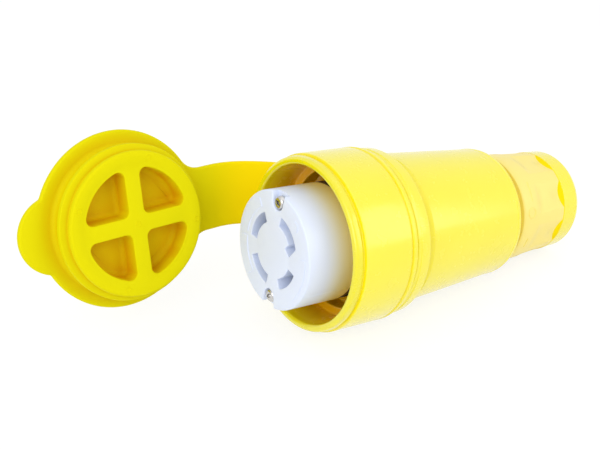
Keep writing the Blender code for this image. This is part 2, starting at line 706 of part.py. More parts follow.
def make_nut(shoulder):
    """Round front, then flats for a wrench, and a spigot for the end ring."""
    bore = THREAD_RADIUS + THREAD_GAP
    front_radius = bore + NUT_WALL
    flats_radius = front_radius - NUT_TAPER
    spigot_end = NUT_REAR + SPIGOT_LENGTH
    nut = turned(
        "gland_nut",
        [
            (NUT_FRONT, bore),
            (NUT_FRONT, front_radius),
            (NUT_FRONT + FLATS_START, flats_radius),
            (NUT_REAR, flats_radius),
            (NUT_REAR, SPIGOT_RADIUS),
            (spigot_end, SPIGOT_RADIUS),
            (spigot_end, CORD_RADIUS),
            (shoulder, CORD_RADIUS),
            (shoulder, bore),
        ],
        "nut_yellow",
    )
    flat = flats_radius - FLATS_DEPTH
    outside = flats_radius + CUT
    half = sqrt(outside**2 - flat**2)
    for index in range(FLAT_COUNT):
        outline = [(-half, flat), (half, flat), (half, outside), (-half, outside)]
        cutter = drawn_out(f"flat_{index}", outline, NUT_FRONT + FLATS_START, NUT_REAR + SEAT_GAP / 2)
        boolean(nut, at_clock(cutter, FLAT_CLOCK + index * 360 / FLAT_COUNT))


def make_tail_ring():
    front = NUT_REAR + SEAT_GAP
    rear = NUT_REAR + TAIL_LENGTH
    socket_end = NUT_REAR + SPIGOT_LENGTH + SEAT_GAP
    socket = SPIGOT_RADIUS + SEAT_GAP
    turned(
        "tail_ring",
        [
            (front, socket),
            (front, TAIL_RADIUS),
            *reversed(rounded(rear, TAIL_RADIUS, TAIL_ROUND, -1, -1)),
            (rear, CORD_RADIUS),
            (socket_end, CORD_RADIUS),
            (socket_end, socket),
        ],
        "jacket_yellow",
    )


def main():
    clear_scene()
    make_jacket()
    make_insert_shells(screw_clocks=(0, 180))
    for name, (start, end) in SLOT_SPANS.items():
        make_terminal(name, (start + end) / 2)
    make_face_screw("face_screw_top", 0)
    make_face_screw("face_screw_bottom", 180)
    make_cap_and_strap()
    make_gland()


main()
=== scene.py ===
"""Looks of the watertight four-wire locking connector with its tethered flip cap.

Shapes are worked out in millimetres in the part's own frame and become metres when a mesh is made.
X runs along the connector from its contact face to the cord. Clock angles start at +Z and turn
clockwise as seen from the face.
"""

from math import acos, asin, atan2, ceil, cos, degrees, hypot, pi, radians, sin, sqrt, tan, tau

import bmesh
import bpy
from mathutils import Matrix, Vector


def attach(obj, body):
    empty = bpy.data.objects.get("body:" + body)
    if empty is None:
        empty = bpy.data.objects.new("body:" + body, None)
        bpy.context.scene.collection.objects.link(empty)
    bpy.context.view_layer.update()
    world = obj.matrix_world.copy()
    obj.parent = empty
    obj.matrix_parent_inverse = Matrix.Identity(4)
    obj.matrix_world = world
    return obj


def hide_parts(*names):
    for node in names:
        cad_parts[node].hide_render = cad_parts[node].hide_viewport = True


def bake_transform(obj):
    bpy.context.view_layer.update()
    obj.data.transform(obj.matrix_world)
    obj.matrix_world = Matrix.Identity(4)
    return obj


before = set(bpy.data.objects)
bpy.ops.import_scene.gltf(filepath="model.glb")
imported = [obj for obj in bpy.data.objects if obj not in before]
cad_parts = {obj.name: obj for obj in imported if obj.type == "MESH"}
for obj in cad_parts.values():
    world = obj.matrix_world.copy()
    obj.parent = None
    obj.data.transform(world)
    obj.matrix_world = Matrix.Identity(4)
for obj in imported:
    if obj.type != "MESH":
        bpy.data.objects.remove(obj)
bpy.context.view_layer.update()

MM = 0.001
ROUND = 192  # steps of a large turned surface
SMALL_ROUND = 48
WELD = 1e-4  # points nearer than this become one
SHARP_ANGLE = radians(40)

# Jacket: stations along X and radii
LIP_FRONT = 14.6
LIP_REAR = 17.9
LIP_RADIUS = 39.2
COLLAR_FRONT = 19.6
COLLAR_REAR = 45.2
COLLAR_RADIUS = 40.0
COLLAR_STEP_RADIUS = 38.3
RIDGE_REAR = 48.5
GROOVE_RADIUS = 32.7
BARREL_STEP = 56.9
BARREL_STEP_RADIUS = 33.9
BARREL_FRONT = 62.1
BARREL_FRONT_RADIUS = 35.2
BARREL_REAR = 122.3
BARREL_REAR_RADIUS = 31.2
MOUTH_RADIUS = 35.6
MOUTH_FLOOR = 33.1
SEAT_RADIUS = 31.6
ROOM_FRONT = 43.1
ROOM_REAR = 118.0
ROOM_RADIUS = 26.7
TAIL_HOLE_RADIUS = 22.8

# Insert and its face screws
INSERT_RADIUS = 26.4
SHELL_LENGTH = 26.0
SHELL_BORE_RADIUS = 24.0
FACE_PLATE = 9.0
FACE_EDGE = 0.75
PLATE_HOLE_RADIUS = 17.3
SLOT_OUTER = 17.0
SLOT_INNER = 12.5
SLOT_CORNER = 0.5
SLOT_SPANS = ((107.5, 155.5), (189, 242), (273, 329.5))
PANELS = ((222, 268, 19.6, 23.8), (274, 327, 19.6, 23.8), (79, 139, 19.8, 23.6))  # clocks, radii
PANEL_CORNER = 1.2
STUD_CLOCK = 40
STUD_CIRCLE = 21.0
STUD_RADIUS = 2.4
RAISED = 0.3
SEAM_CLOCKS = (118, 298)
SCREW_CIRCLE = 21.8
NOTCH_DEPTH = 3.2
NOTCH_RADIUS = 3.5
NOTCH_MOUTH = 4.3
HEAD_HEIGHT = 2.6
HEAD_RADIUS = 3.0
HEAD_TOP_RADIUS = 1.8
SHANK_RADIUS = 1.6
SHANK_LENGTH = 40
DRIVE_DEPTH = 1.3

# Cap, seen closed: X runs out along its boss from the flange's front
FLANGE_FRONT = 14.0
FLANGE_RADIUS = 39.7
FLANGE_THICKNESS = 3.0
FLANGE_EDGE = 1.1
TAB_RADIUS = 17.4
TAB_REACH = 8.5
TAB_FILLET = 2.2
TONGUE_END = 50.0
TONGUE_FILLET = 11.0
BOSS_FRONT = 15.1
BOSS_FOOT_RADIUS = 36.8
BOSS_RADIUS = 32.0
SEAL_RIB_RADIUS = 34.5
PIN_MARKS = ((67, 28.9), (161, 28.7), (262, 29.2), (343, 28.9))  # clock and radius
POCKET_FACE = BOSS_FRONT - 0.15
POCKET_FACE_RADIUS = 26.5
POCKET_RADIUS = 24.9
POCKET_CORNER = 3.1
POCKET_DRAFT = 0.45
POCKET_DEPTH = 9.7
POCKET_FLOOR_ROUND = 2.5
HALF_RIB = 3.65

# Strap and the ring that carries it
STRAP_ROLL = radians(4.23)
CAP_OPEN = radians(88.6)
FOLD = Vector((12.5, 57.6, 0))
FOLD_AXIS = Vector((0.1161, 0.1852, 0.9758)).normalized()
FOLD_STEP = 26  # step of the strap's path whose centre is given as one of the blend ends
STRAP_WIDTH = 30.3
STRAP_THICKNESS = 3.0
STRAP_FOOT = Vector((53.0, 40.9, 0))
STRAP_FOOT_HEADING = Vector((0.93, -0.37, 0))
RING_FRONT = 48.8
RING_REAR = 56.6
RING_RADIUS = 38.6
RING_BORE_RADIUS = 33.0
LUG_INNER = 36.2
LUG_OUTER = 41.2

# Gland nut and tail ring
NUT_FRONT = 128.7
NUT_REAR = 159.9
NUT_RADIUS = 27.3
FLATS_FRONT = 140.2
FLAT_COUNT = 8
FLAT_CLOCK = radians(16)
FLAT_RUN_IN = 0.8
LAND_FRONT_RADIUS = 26.7
LAND_REAR_RADIUS = 25.3
FLAT_FRONT_RADIUS = 25.55
FLAT_REAR_RADIUS = 24.4
CONE_SLOPE = 3.0
BEAD_LINES = ((42, 63, 135.6), (104, 115, 134.6))  # two clocks and a station
BEAD_RING_CLOCK = 75
BEAD_RING_MIDDLE = 134.5
BEAD_RING_RADIUS = 2.5
THREAD_REAR = 153.7
THREAD_RADIUS = 22.8
NECK_FRONT = 155.6
NECK_REAR = 165.9
NECK_RADIUS = 19.0
CORD_RADIUS = 12.5
TAIL_FRONT = 160.2
TAIL_REAR = 171.4
TAIL_RADIUS = 25.4


# Outlines


def arc(centre, radius, start, end, steps):
    """Points on a circle from one angle to another, both in radians."""
    angles = [start + (end - start) * step / steps for step in range(steps + 1)]
    return [(centre[0] + radius * cos(angle), centre[1] + radius * sin(angle)) for angle in angles]


def circle(centre, radius, steps):
    return arc(centre, radius, 0, tau, steps)[:-1]


def clock_arc(radius, start, end, steps):
    """Points (y, z) between two clock angles in degrees."""
    return arc((0, 0), radius, pi / 2 + radians(start), pi / 2 + radians(end), steps)


def clock_point(radius, clock):
    return clock_arc(radius, clock, clock + 1, 1)[0]


def clock_corners(radius, start, end, steps, first, last):
    """A clock arc for filleted, with the fillets of its first and its last corner."""
    row = [(y, z, 0) for y, z in clock_arc(radius, start, end, steps)]
    row[0] = (*row[0][:2], first)
    row[-1] = (*row[-1][:2], last)
    return row


def filleted(corners, steps=6, closed=True):
    """Rounds each corner (u, v, size) of an outline."""
    straight = 1.56  # half of the angle at a corner that needs no fillet
    most_of_side = 0.48
    points = []
    count = len(corners)
    for index, (u, v, size) in enumerate(corners):
        here = Vector((u, v))
        before = Vector(corners[index - 1][:2]) - here
        after = Vector(corners[(index + 1) % count][:2]) - here
        back, on = before.normalized(), after.normalized()
        half = acos(max(-1.0, min(1.0, back.dot(on)))) / 2
        open_end = not closed and index in (0, count - 1)
        if not size or open_end or half > straight:
            points.append((u, v))
            continue
        reach = min(size / tan(half), most_of_side * before.length, most_of_side * after.length)
        radius = reach * tan(half)
        centre = here + (back + on).normalized() * (radius / sin(half))
        first = here + back * reach - centre
        last = here + on * reach - centre
        start = atan2(first.y, first.x)
        sweep = (atan2(last.y, last.x) - start + pi) % tau - pi
        points += arc(centre, radius, start, start + sweep, steps)
    return points


def offset(outline, distance, closed=True):
    """Moves an outline that runs anticlockwise inwards by a distance."""
    least_lean = 0.4  # keeps a sharp corner from running away
    moved = []
    count = len(outline)
    for index, point in enumerate(outline):
        normals = []
        for other in (index - 1, index):
            if not closed and other in (-1, count - 1):
                continue
            along = Vector(outline[(other + 1) % count]) - Vector(outline[other])
            if along.length > 1e-9:
                normals.append(Vector((-along.y, along.x)).normalized())
        middle = sum(normals, Vector((0, 0))).normalized()
        lean = max(least_lean, middle.dot(normals[0]))
        moved.append(tuple(Vector(point) + middle * (distance / lean)))
    return moved


def contours(outline, path, closed=True):
    """Rows for loft: the outline moved inwards and set at x, for each pair (inwards, x) of path."""
    return [[(x, y, z) for y, z in offset(outline, inwards, closed)] for inwards, x in path]


def anticlockwise(outline):
    area = sum(a[0] * b[1] - b[0] * a[1] for a, b in zip(outline, outline[1:] + outline[:1]))
    return outline if area > 0 else outline[::-1]


def thinned(outline, least=0.02):
    """Drops points that lie on top of the one before."""
    kept = [outline[0]]
    for point in outline[1:]:
        if hypot(point[0] - kept[-1][0], point[1] - kept[-1][1]) > least:
            kept.append(point)
    if hypot(kept[0][0] - kept[-1][0], kept[0][1] - kept[-1][1]) < least:
        kept.pop()
    return kept


def turned(outline, clock):
    """Turns an outline of (y, z) points by a clock angle."""
    turn = radians(clock)
    return [(y * cos(turn) - z * sin(turn), y * sin(turn) + z * cos(turn)) for y, z in outline]


def quarter_round(radius, steps):
    """Pairs (inwards, depth) that roll from a flat front over an edge to the side."""
    angles = [pi / 2 * step / steps for step in range(steps + 1)]
    return [(radius * (1 - sin(angle)), radius * (1 - cos(angle))) for angle in angles]


def rounded_mouth(radius, depth, steps=5):
    """Path for sink that rolls over a recess's edge and then goes straight down."""
    return [(-outwards, down) for outwards, down in quarter_round(radius, steps)] + [(0, depth)]


# Meshes


def add_row(bm, points, closed=True):
    """Vertices at the points, joined by edges."""
    row = [bm.verts.new(point) for point in points]
    pairs = zip(row, row[1:] + row[:1]) if closed else zip(row, row[1:])
    for pair in pairs:
        bm.edges.new(pair)
    return row


def row_edges(bm, row):
    return [bm.edges.get(pair) for pair in zip(row, row[1:] + row[:1])]


def loft(bm, rows, matrix=None, capped=False):
    """A skin over closed rows of points, with flat ends if capped. Gives back each row's vertices."""
    loops = [add_row(bm, row) for row in rows]
    if matrix:
        bmesh.ops.transform(bm, matrix=matrix, verts=[vert for loop in loops for vert in loop])
    edges = [row_edges(bm, loop) for loop in loops]
    for first, second in zip(edges, edges[1:]):
        bmesh.ops.bridge_loops(bm, edges=first + second)
    if capped:
        bm.faces.new(loops[0])
        bm.faces.new(loops[-1])
    return loops


def lathe(bm, profile, steps=ROUND, matrix=None, closed=True):
    """A profile of (x, radius) points turned round X. Gives back an open profile's two end rings."""
    before = set(bm.verts)
    row = add_row(bm, [(x, radius, 0) for x, radius in profile], closed)
    edges = dict.fromkeys(edge for vert in row for edge in vert.link_edges)
    bmesh.ops.spin(
        bm, geom=[*row, *edges], cent=(0, 0, 0), axis=(1, 0, 0), angle=tau, steps=steps, use_merge=True
    )
    ends = None if closed else [ring_through(row[0]), ring_through(row[-1])]
    if matrix:
        made = [vert for vert in bm.verts if vert not in before]
        bmesh.ops.transform(bm, matrix=matrix, verts=made)
    return ends


def ring_through(vert):
    """The boundary ring that starts at a vertex."""
    ring = [vert]
    edge = next(edge for edge in vert.link_edges if edge.is_boundary)
    while True:
        vert = edge.other_vert(vert)
        if vert is ring[0]:
            return ring
        ring.append(vert)
        edge = next(other for other in vert.link_edges if other.is_boundary and other is not edge)


def fill(bm, loops):
    """Closes a flat area that is bounded by one loop and has the others as holes."""
    edges = []
    for loop in loops:
        for pair in zip(loop, loop[1:] + loop[:1]):
            edges.append(bm.edges.get(pair) or bm.edges.new(pair))
    bmesh.ops.triangle_fill(bm, use_beauty=True, use_dissolve=False, edges=edges)


def sink(bm, outline, front, path, heading=1, matrix=None, floor=True):
    """A recess or a raised shape whose contours follow path, pairs of (inwards, how far from front).

    Heading is the direction along X in which the path leaves the front.
    """
    rows = contours(anticlockwise(outline), [(inwards, front + heading * far) for inwards, far in path])
    loops = loft(bm, rows, matrix)
    if floor:
        bm.faces.new(loops[-1])
    return loops[0]


def roll_about_x(angle):
    return Matrix.Rotation(angle, 4, "X")


def add_piece(name, bm, material, body, slot, *nodes, blend=None):
    """Makes a piece that stands for CAD nodes. It rides on a body, or on none when blend is given."""
    bmesh.ops.remove_doubles(bm, verts=bm.verts, dist=WELD)
    bmesh.ops.recalc_face_normals(bm, faces=bm.faces)
    bmesh.ops.scale(bm, vec=(MM, MM, MM), verts=bm.verts)
    mesh = bpy.data.meshes.new(name)
    bm.to_mesh(mesh)
    bm.free()
    mesh.materials.append(material)
    mesh.shade_smooth()
    mesh.set_sharp_from_angle(angle=SHARP_ANGLE)
    piece = bpy.data.objects.new(name, mesh)
    bpy.context.scene.collection.objects.link(piece)
    if blend:
        start, end = blend
        start * MM
        end * MM
        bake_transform(piece)
    else:
        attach(piece, body)
    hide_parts(*nodes)
    return piece


# Materials


class Wire:
    """An output of a shader node that takes part in plain arithmetic."""

    def __init__(self, tree, socket):
        self.tree = tree
        self.socket = socket

    def maths(self, operation, other):
        return add_node(self.tree, "ShaderNodeMath", {0: self, 1: other}, operation=operation)

    def __add__(self, other):
        return self.maths("ADD", other)

    def __mul__(self, other):
        return self.maths("MULTIPLY", other)

    def __rsub__(self, other):
        return self * -1.0 + other

    def step(self, start, end):
        """0 at start, 1 at end and beyond, and smooth between. The end may be the lower one."""
        inputs = {"Value": self, "From Min": start, "From Max": end}
        return add_node(self.tree, "ShaderNodeMapRange", inputs, interpolation_type="SMOOTHSTEP")


def connect(tree, socket, value):
    """Links a wire to a socket, or sets the socket to a plain value."""
    if isinstance(value, Wire):
        tree.links.new(value.socket, socket)
    else:
        socket.default_value = value


def add_node(tree, kind, inputs=(), output=0, **settings):
    """A shader node with its settings made first and its sockets next. Gives back one output."""
    node = tree.nodes.new(kind)
    for key, value in settings.items():
        setattr(node, key, value)
    for key, value in dict(inputs).items():
        connect(tree, node.inputs[key], value)
    return Wire(tree, node.outputs[output])


class Finish:
    """A material being made from nodes."""

    # The Mix node's sockets for colours
    FIRST_COLOUR, SECOND_COLOUR, MIXED_COLOUR = 6, 7, 2

    def __init__(self, name):
        self.material = bpy.data.materials.new(name)
        self.material.use_nodes = True
        self.tree = self.material.node_tree
        self.shader = self.tree.nodes["Principled BSDF"]
        self.place = self.node("ShaderNodeTexCoord", output="Object")

    def node(self, kind, inputs=(), output=0, **settings):
        return add_node(self.tree, kind, inputs, output, **settings)

    def noise(self, size, detail=3.0, stretch=None):
        """Noise from 0 to 1 whose blobs are about size millimetres across."""
        place = self.place
        if stretch:
            place = self.node("ShaderNodeVectorMath", {0: place, 1: stretch}, operation="MULTIPLY")
        inputs = {"Vector": place, "Scale": 1 / (size * MM), "Detail": detail, "Roughness": 0.55}
        return self.node("ShaderNodeTexNoise", inputs, "Fac")

    def mixed(self, factor, first, second):
        first, second = (
            colour if isinstance(colour, Wire) else (*colour, 1) for colour in (first, second)
        )
        inputs = {"Factor": factor, self.FIRST_COLOUR: first, self.SECOND_COLOUR: second}
        return self.node("ShaderNodeMix", inputs, self.MIXED_COLOUR, data_type="RGBA")

    def axis(self, index):
        return self.node("ShaderNodeSeparateXYZ", {0: self.place}, index)

    def along_x(self, start, end):
        """0 at start and 1 at end, in millimetres along X."""
        return self.axis(0).step(start * MM, end * MM)

    def from_axis(self, near, far):
        """0 up to near millimetres from the X axis and 1 beyond far."""
        y, z = self.axis(1), self.axis(2)
        return (y * y + z * z).step((near * MM) ** 2, (far * MM) ** 2)

    def open_air(self, reach):
        """1 in the open and less where the piece itself stands within reach millimetres."""
        inputs = {"Distance": reach * MM}
        return self.node("ShaderNodeAmbientOcclusion", inputs, "AO", only_local=True, samples=8)

    def bump(self, height, depth):
        """Bump from a height of 0 to 1 that stands for depth millimetres."""
        inputs = {"Strength": 1.0, "Distance": depth * MM, "Height": height}
        return self.node("ShaderNodeBump", inputs, "Normal")

    def set(self, **values):
        for key, value in values.items():
            connect(self.tree, self.shader.inputs[key.replace("_", " ")], value)


def moulded(
    name,
    colour,
    deep,
    pale,
    roughness,
    grain,
    grain_depth,
    along=None,
    hollow_shade=None,
    mouth_shade=None,
    **constants,
):
    """Moulded rubber or plastic: slow drifts of colour, faint scuffs and a fine grain.

    Along is a second colour with the two places along X where it starts and is full; the materials
    use it for painted shade and painted bounced light. Hollow_shade is painted shade in hollows: its
    colour, how far they reach and how closed and how open they are at its two ends. Mouth_shade is
    painted shade deep inside the jacket's opening: its colour, with where it starts and is full.
    """
    finish = Finish(name)
    drift = finish.noise(26, detail=2).step(0.35, 0.75)
    scuff = finish.noise(4.5, detail=5, stretch=(0.5, 1, 1)).step(0.62, 0.88)
    base = finish.mixed(drift * 0.5, colour, deep)
    base = finish.mixed(scuff * 0.03, base, pale)
    # Painted shade and painted bounced light: a second colour that comes in along X.
    if along:
        second, start, end = along
        base = finish.mixed(finish.along_x(start, end), base, second)
    # Painted shade: a colour that comes in where the piece's own ambient occlusion is low.
    if hollow_shade:
        hollow_shade_colour, reach, closed, opened = hollow_shade
        base = finish.mixed(1 - finish.open_air(reach).step(closed, opened), base, hollow_shade_colour)
    # Painted shade: amber deep inside the jacket's opening, for light that its rubber lets through and
    # throws back.
    if mouth_shade:
        mouth_shade_colour, start, end = mouth_shade
        inside = 1 - finish.from_axis(MOUTH_RADIUS + 0.2, MOUTH_RADIUS + 0.8)
        before_groove = 1 - finish.along_x(RIDGE_REAR - 2, RIDGE_REAR)
        base = finish.mixed(finish.along_x(start, end) * inside * before_groove, base, mouth_shade_colour)
    rough = finish.noise(7, detail=4) * 0.04 + scuff * 0.02 + (roughness - 0.03)
    height = finish.noise(grain) * 0.8 + finish.noise(6 * grain, detail=2) * 0.5
    finish.set(Base_Color=base, Roughness=rough, Normal=finish.bump(height, grain_depth))
    finish.set(**constants)
    return finish.material


def metal(name, colour, worn, roughness, grain, stretch):
    """Bare or plated metal with fine drawn lines and duller patches."""
    finish = Finish(name)
    dull = finish.noise(2.4, detail=4).step(0.45, 0.75)
    lines = finish.noise(grain, stretch=stretch)
    finish.set(
        Base_Color=finish.mixed(dull * 0.6, colour, worn),
        Roughness=lines * 0.16 + dull * 0.14 + (roughness - 0.08),
        Normal=finish.bump(lines, 0.006),
        Metallic=1.0,
    )
    return finish.material


JACKET = moulded(
    "jacket_rubber",
    colour=(0.94, 0.84, 0.020),
    deep=(0.93, 0.80, 0.008),
    pale=(0.95, 0.86, 0.04),
    roughness=0.28,
    grain=0.35,
    grain_depth=0.001,
    # Painted shade: a deeper yellow over the lip, in front of the collar.
    along=((0.86, 0.77, 0.002), 18.6, 17.6),
    # Painted shade: a purer yellow in the grooves and corners.
    hollow_shade=((0.95, 0.82, 0.001), 7, 0.45, 0.95),
    # Painted shade: amber deep inside the opening.
    mouth_shade=((1.0, 0.50, 0.001), 8, 38),
    Specular_IOR_Level=0.6,
    Coat_Weight=0.6,
    Coat_Roughness=0.16,
)
CAP = moulded(
    "cap_rubber",
    colour=(0.78, 0.71, 0.002),
    deep=(0.78, 0.69, 0.001),
    pale=(0.82, 0.76, 0.05),
    roughness=0.55,
    grain=0.30,
    grain_depth=0.010,
    # Painted shade: the strap turns a warmer yellow where the collar shades it.
    along=((0.95, 0.74, 0.002), -5, 22),
    # Painted shade: amber in the pockets and round the boss.
    hollow_shade=((0.70, 0.28, 0.001), 16, 0.10, 0.84),
    Specular_IOR_Level=0.04,
)
NUT = moulded(
    "nut_nylon",
    colour=(0.97, 0.81, 0.22),
    deep=(0.96, 0.78, 0.18),
    pale=(0.97, 0.86, 0.34),
    roughness=0.36,
    grain=0.4,
    grain_depth=0.004,
)
WHITE = moulded(
    "white_nylon",
    colour=(0.76, 0.83, 1.0),
    deep=(0.74, 0.81, 0.99),
    pale=(0.82, 0.87, 1.0),
    roughness=0.34,
    grain=0.35,
    grain_depth=0.004,
    # Painted shade and painted bounced light: the insert turns tan towards its back, inside the yellow
    # jacket.
    along=((0.87, 0.79, 0.30), 8, 25),
)
BLACK = moulded(
    "black_nylon",
    colour=(0.030, 0.030, 0.034),
    deep=(0.022, 0.022, 0.026),
    pale=(0.07, 0.07, 0.075),
    roughness=0.45,
    grain=0.35,
    grain_depth=0.01,
)
SEAL = moulded(
    "black_rubber",
    colour=(0.022, 0.022, 0.023),
    deep=(0.015, 0.015, 0.016),
    pale=(0.06, 0.06, 0.06),
    roughness=0.58,
    grain=0.3,
    grain_depth=0.015,
)
BRASS = metal("brass_strip", (0.78, 0.57, 0.22), (0.60, 0.40, 0.14), 0.30, 0.25, (0.15, 1, 1))
STEEL = metal("plated_steel", (0.60, 0.59, 0.58), (0.38, 0.37, 0.36), 0.22, 0.2, (1, 1, 0.3))


# Pieces


def make_jacket():
    """Collar with a rolled lip and two ridges, the ring's groove and the tapered barrel."""
    profile = filleted(
        [
            (LIP_FRONT, MOUTH_RADIUS, 1.5),
            (LIP_FRONT, LIP_RADIUS - 0.3, 1.5),
            (LIP_REAR, LIP_RADIUS, 0.4),
            (LIP_REAR + 0.6, COLLAR_STEP_RADIUS, 0.3),
            (COLLAR_FRONT - 0.2, COLLAR_STEP_RADIUS, 0.3),
            (COLLAR_FRONT, COLLAR_RADIUS, 0.5),
            (COLLAR_REAR - 0.9, COLLAR_RADIUS - 0.1, 0.3),
            (COLLAR_REAR - 0.5, COLLAR_RADIUS - 1.0, 0.3),
            (COLLAR_REAR + 0.2, COLLAR_RADIUS - 1.0, 0.3),
            (COLLAR_REAR + 0.7, COLLAR_RADIUS, 0.5),
            (RIDGE_REAR - 0.7, COLLAR_RADIUS - 0.2, 0.5),
            (RIDGE_REAR, COLLAR_RADIUS - 2.2, 0.3),
            (RIDGE_REAR, GROOVE_RADIUS, 0.3),
            (BARREL_STEP, GROOVE_RADIUS, 0.3),
            (BARREL_STEP, BARREL_STEP_RADIUS, 0.4),
            (BARREL_FRONT - 2.6, BARREL_STEP_RADIUS - 0.3, 0.6),
            (BARREL_FRONT, BARREL_FRONT_RADIUS, 0.5),
            (BARREL_REAR - 3.0, BARREL_REAR_RADIUS + 0.15, 0.3),
            (BARREL_REAR - 2.6, BARREL_REAR_RADIUS + 0.3, 0.3),
            (BARREL_REAR, BARREL_REAR_RADIUS, 1.5),
            (BARREL_REAR, TAIL_HOLE_RADIUS, 0.5),
            (ROOM_REAR, TAIL_HOLE_RADIUS, 0),
            (ROOM_REAR, ROOM_RADIUS, 0),
            (ROOM_FRONT, ROOM_RADIUS, 0.5),
            (ROOM_FRONT - 3.0, SEAT_RADIUS, 0.6),
            (MOUTH_FLOOR, SEAT_RADIUS, 0.8),
            (MOUTH_FLOOR, MOUTH_RADIUS, 0.8),
        ],
        steps=8,
    )
    bm = bmesh.new()
    lathe(bm, profile)
    add_piece("jacket_skin", bm, JACKET, "jacket", "jacket_yellow", "jacket")


def slot_corners(start, end, steps=16):
    """An arc slot of the face with its corners marked for rounding."""
    outer = clock_corners(SLOT_OUTER, start, end, steps, SLOT_CORNER, SLOT_CORNER)
    return outer + clock_corners(SLOT_INNER, end, start, steps, SLOT_CORNER, SLOT_CORNER)


def hooked_slot_corners(steps=16):
    """The ground slot, with the tail that turns inwards at its lower end."""
    outer = clock_corners(SLOT_OUTER, 12, 67, steps, SLOT_CORNER, SLOT_CORNER)
    inner = clock_corners(SLOT_INNER, 58, 12, steps, 0.3, SLOT_CORNER)
    return outer + [(-11.7, 1.5, SLOT_CORNER), (-8.2, 4.3, SLOT_CORNER)] + inner


def notched_circle(radius, steps=75):
    """The face's outline: a circle with a U that widens outwards, cut in at the top and the bottom."""
    reach = degrees(asin(NOTCH_MOUTH / radius))
    widening = 0.12
    notch = arc((0, SCREW_CIRCLE + 0.2), NOTCH_RADIUS, -widening, widening - pi, 16)
    points = []
    for side in (0, 180):
        points += clock_arc(radius, side + reach, side + 180 - reach, steps)
        points += turned(notch, side + 180)
    return points


def make_face():
    """White insert: a face with rolled edges, four slots, two screw notches and blank raised panels."""
    bm = bmesh.new()
    outline = anticlockwise(thinned(notched_circle(INSERT_RADIUS)))
    loops = loft(bm, contours(outline, [*quarter_round(FACE_EDGE, 5), (0, NOTCH_DEPTH)]))
    holes = []
    for corners in [slot_corners(*span) for span in SLOT_SPANS] + [hooked_slot_corners()]:
        slot = thinned(filleted(corners, 5))
        holes.append(sink(bm, slot, 0, rounded_mouth(0.35, FACE_PLATE), floor=False))
    fill(bm, [loops[0], *holes])
    side = INSERT_RADIUS - 0.001
    lathe(bm, [(NOTCH_DEPTH, side), (SHELL_LENGTH, side)], closed=False)
    notch_floor = []
    for radius in (INSERT_RADIUS, PLATE_HOLE_RADIUS):
        notch_floor.append([(NOTCH_DEPTH, y, z) for y, z in clock_arc(radius, 0, 360, ROUND)[:-1]])
    loft(bm, notch_floor)
    inside = [
        (SHELL_LENGTH, INSERT_RADIUS),
        (SHELL_LENGTH, SHELL_BORE_RADIUS),
        (FACE_PLATE, SHELL_BORE_RADIUS),
        (FACE_PLATE, PLATE_HOLE_RADIUS),
    ]
    lathe(bm, inside, closed=False)
    for panel in PANELS:
        add_panel(bm, *panel)
    raise_shape(bm, circle(clock_point(STUD_CIRCLE, STUD_CLOCK), STUD_RADIUS, SMALL_ROUND))
    for clock in SEAM_CLOCKS:
        add_seam(bm, clock)
    add_piece("face_skin", bm, WHITE, "insert", "nylon_white", "face_shell")


def add_panel(bm, start, end, inner, outer):
    """A blank raised panel between two clock angles and two radii of the face."""
    corners = clock_corners(outer, start, end, 24, PANEL_CORNER, PANEL_CORNER)
    corners += clock_corners(inner, end, start, 24, PANEL_CORNER, PANEL_CORNER)
    raise_shape(bm, thinned(filleted(corners)))


def raise_shape(bm, outline):
    """Raises a blank shape with a small chamfer on the face, from just under its surface."""
    chamfer = 0.06
    sink(bm, outline, 0.02, [(0, 0), (0, RAISED - chamfer), (chamfer, RAISED)], heading=-1)


def add_seam(bm, clock):
    """The fine moulding line along the insert's side."""
    section = [(-0.16, -0.1), (-0.07, 0.09), (0.07, 0.09), (0.16, -0.1)]
    rows = [[(x, y, INSERT_RADIUS + z) for y, z in section] for x in (1.2, SHELL_LENGTH - 0.3)]
    loft(bm, rows, roll_about_x(radians(clock)), capped=True)


def make_face_screw(name, clock, turn):
    """A round head with a combined slot and square drive, on its shank."""
    bm = bmesh.new()
    seat = NOTCH_DEPTH - 0.3
    front = seat - HEAD_HEIGHT
    place = roll_about_x(radians(clock)) @ Matrix.Translation((0, 0, SCREW_CIRCLE))
    place = place @ roll_about_x(radians(turn))
    crown = 1.7
    profile = []
    for step in range(9):
        angle = pi / 2 * step / 8
        radius = HEAD_TOP_RADIUS + (HEAD_RADIUS - HEAD_TOP_RADIUS) * sin(angle)
        profile.append((front + crown * (1 - cos(angle)), radius))
    profile += [
        (seat - 0.15, HEAD_RADIUS),
        (seat, HEAD_RADIUS - 0.15),
        (seat, SHANK_RADIUS),
        (seat + SHANK_LENGTH, SHANK_RADIUS),
        (seat + SHANK_LENGTH, 0.02),
    ]
    rings = lathe(bm, profile, SMALL_ROUND, place, closed=False)
    long, half, square = 1.72, 0.40, 0.85
    side = [(long, half), (square, half), (square, square)]
    side += [(-y, z) for y, z in reversed(side)]
    drive = side + [(-y, -z) for y, z in side]
    shape = thinned(filleted([(y, z, 0.14) for y, z in drive], 3))
    hole = sink(bm, shape, front, rounded_mouth(0.06, DRIVE_DEPTH, 3), matrix=place)
    fill(bm, [rings[0], hole])
    add_piece(f"{name}_skin", bm, STEEL, "insert", "screw_steel", name)


def cap_place():
    """From the closed cap's own axes to where the open cap is."""
    bend = Matrix.Rotation(-CAP_OPEN, 4, FOLD_AXIS)
    about_fold = Matrix.Translation(FOLD) @ bend @ Matrix.Translation(-FOLD)
    return roll_about_x(STRAP_ROLL) @ about_fold @ Matrix.Translation((FLANGE_FRONT, 0, 0))


